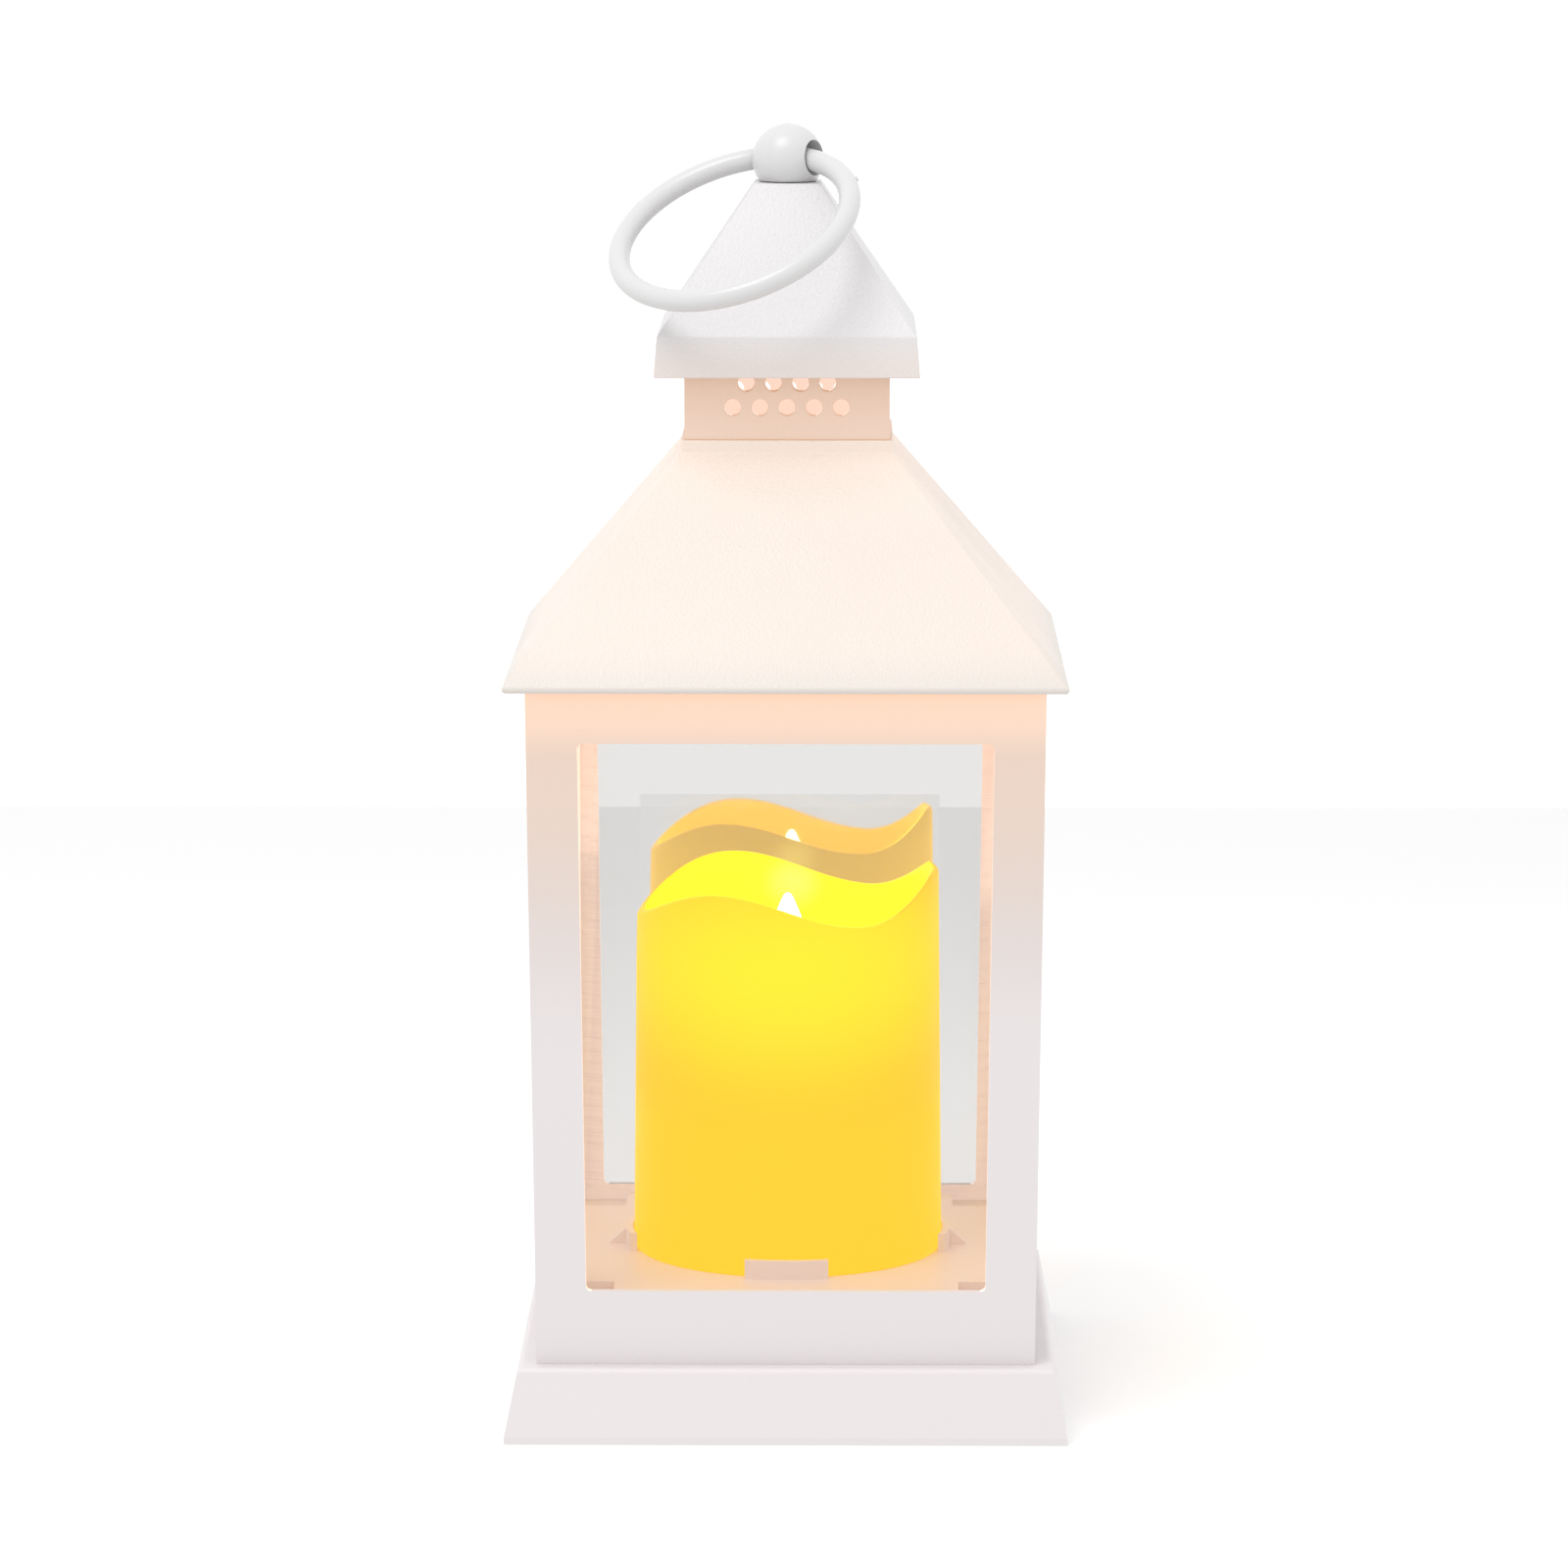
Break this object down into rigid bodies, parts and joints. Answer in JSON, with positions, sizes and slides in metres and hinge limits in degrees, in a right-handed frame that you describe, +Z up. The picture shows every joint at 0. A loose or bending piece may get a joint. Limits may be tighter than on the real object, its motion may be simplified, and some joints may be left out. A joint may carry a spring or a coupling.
{
  "type": "battery candle lantern",
  "caption": "Square hanging lantern with clear panes, a flared base, a vented pyramid roof, a swing ring on a ball finial and a battery flame candle inside.",
  "frame": {"origin": "centre of the square foot, on the surface that the lantern stands on", "axes": "+Z up, -Y out of the front window, +X to the right of someone facing the front"},
  "size_m": [0.105, 0.105, 0.2426],
  "materials": {
    "shell": "translucent satin",
    "pane": "clear",
    "gloss": "gloss",
    "fastener": "zinc plated",
    "candle": "glowing satin",
    "flame": "frosted, lit",
    "lamp": "clear, lit",
    "case": "satin",
    "battery": "printed sleeve",
    "contact": "nickel plated",
    "board": "solder mask",
    "chip": "satin",
    "red_wire": "satin",
    "black_wire": "satin"
  },
  "bodies": {
    "lantern": {"base": "shell", "body_frame": "shell", "pane_front": "pane", "pane_back": "pane", "pane_left": "pane", "pane_right": "pane", "roof": "shell", "vent_neck": "shell", "cap": "shell", "candle_foot": "candle", "candle_sleeve": "candle", "flame_diffuser": "flame", "led": "lamp", "candle_screws": "fastener", "battery_box": "case", "box_screws": "fastener", "battery_1": "battery", "battery_2": "battery", "battery_3": "battery", "contact_plates": "contact", "contact_springs": "contact", "circuit_board": "board", "timer_chip": "chip", "switch_body": "chip", "red_leads": "red_wire", "black_leads": "black_wire"},
    "finial": {"finial_ball": "gloss", "finial_washer": "fastener", "finial_screw": "fastener"},
    "ring": {"hanging_ring": "gloss"},
    "door": {"battery_door": "case"},
    "slider": {"switch_slider": "chip"}
  },
  "joints": [
    {"name": "finial_swivel", "type": "hinge", "parent": "lantern", "child": "finial", "pos_m": [0, 0, 0.2306], "axis": [0, 0, 1], "continuous": true},
    {"name": "ring_swing", "type": "hinge", "parent": "finial", "child": "ring", "pos_m": [0, 0, 0.23625], "axis": [0.8517, -0.524, 0], "range_deg": [-251, 5]},
    {"name": "battery_door_hinge", "type": "hinge", "parent": "lantern", "child": "door", "pos_m": [0, -0.0219, 0.006], "axis": [-1, 0, 0], "range_deg": [0, 100]},
    {"name": "power_switch", "type": "slide", "parent": "lantern", "child": "slider", "axis": [-1, 0, 0], "range_m": [0, 0.004]}
  ]
}
